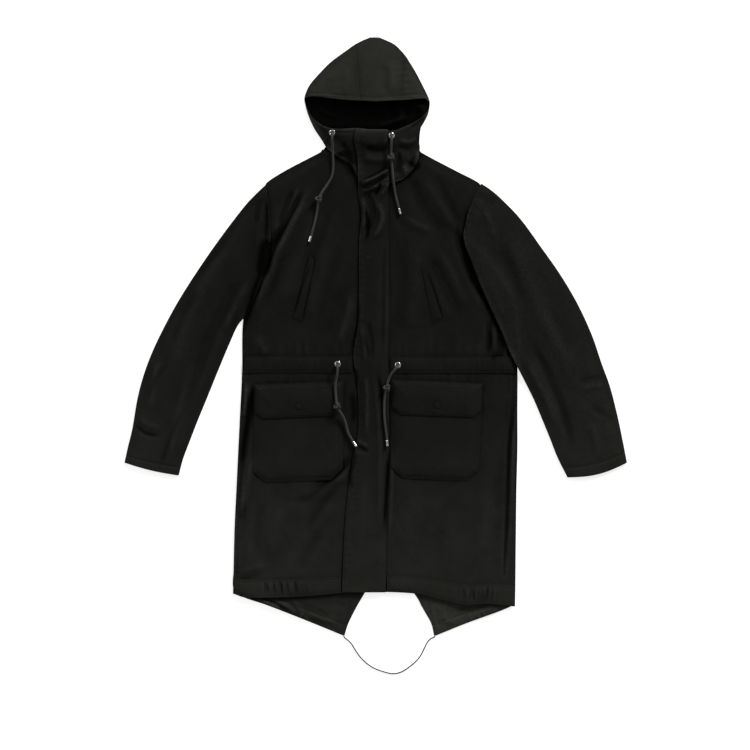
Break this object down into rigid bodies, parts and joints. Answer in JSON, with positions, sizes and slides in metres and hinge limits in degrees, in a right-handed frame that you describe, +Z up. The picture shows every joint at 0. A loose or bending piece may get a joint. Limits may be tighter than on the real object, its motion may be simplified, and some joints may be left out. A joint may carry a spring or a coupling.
{
  "type": "parka",
  "caption": "Hooded fishtail parka in black cotton canvas, laid flat with its front fastened, with cargo pockets and drawcords at hood, waist and tail.",
  "frame": {"origin": "on the surface that the parka lies on, under the middle of the cloth's outline", "axes": "+X across the coat to the wearer's left, +Y along it towards the hood, +Z up off the surface, out of the coat's front"},
  "size_m": [1.055, 1.3372, 0.0311],
  "materials": {
    "canvas": "matt black washed cotton canvas",
    "lining": "matt black lining",
    "cord": "charcoal braided cotton cord",
    "nickel": "bright nickel plate"
  },
  "bodies": {
    "root": {"hood_back": "lining", "back_right": "canvas", "back_left": "canvas", "hood_upper_right": "canvas", "hood_centre": "canvas", "hood_upper_left": "canvas", "front_right": "canvas", "front_left": "canvas", "hood_lower_right": "canvas", "hood_lower_left": "canvas", "waist_casing_right": "canvas", "waist_casing_left": "canvas", "hem_casing_right": "canvas", "hem_casing_left": "canvas", "pocket_right": "canvas", "pocket_left": "canvas", "flap_right": "canvas", "flap_left": "canvas", "welt_right": "canvas", "welt_left": "canvas", "placket": "canvas", "sleeve_right": "canvas", "sleeve_left": "canvas", "eyelet_hood_right": "nickel", "eyelet_hood_left": "nickel", "eyelet_waist_right": "nickel", "eyelet_waist_left": "nickel", "cord_hood_right": "cord", "cord_hood_left": "cord", "cord_waist_right": "cord", "cord_waist_left": "cord", "cord_tail": "cord", "knot_hood_right": "cord", "knot_hood_left": "cord", "knot_waist_right": "cord", "knot_waist_left": "cord", "tip_hood_right": "nickel", "tip_hood_left": "nickel", "tip_waist_right": "nickel", "tip_waist_left": "nickel"}
  },
  "joints": []
}
